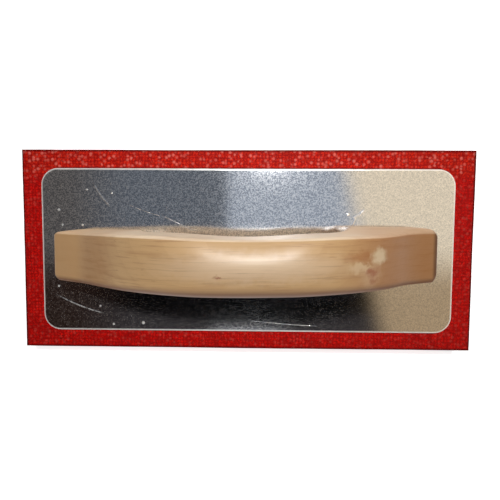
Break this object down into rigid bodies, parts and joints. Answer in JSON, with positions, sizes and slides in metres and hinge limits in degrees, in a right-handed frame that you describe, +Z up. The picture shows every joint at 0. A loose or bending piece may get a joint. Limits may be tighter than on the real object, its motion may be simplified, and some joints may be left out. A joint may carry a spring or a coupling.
{
  "type": "sponge-faced hand float",
  "caption": "Hand float with a thick cellular rubber working pad on a light-metal backing plate and a wooden D-handle screwed on top.",
  "frame": {"origin": "middle of the working face, the flat underside of the sponge pad", "axes": "+X along the float from heel to toe, +Y across it, +Z up from the working face to the grip"},
  "size_m": [0.27, 0.12, 0.0853],
  "materials": {
    "red_sponge": "matte open-cell cellular rubber, red through and through",
    "contact_adhesive": "cured amber contact adhesive",
    "rolled_aluminium": "bright rolled sheet, finely scratched",
    "varnished_beech": "pale beech, satin clear varnish",
    "plated_steel": "zinc-plated"
  },
  "bodies": {
    "root": {"sponge_pad": "red_sponge", "bond_film": "contact_adhesive", "back_plate": "rolled_aluminium", "handle": "varnished_beech", "handle_screw_1": "plated_steel", "handle_screw_2": "plated_steel", "handle_screw_3": "plated_steel", "handle_screw_4": "plated_steel"}
  },
  "joints": []
}
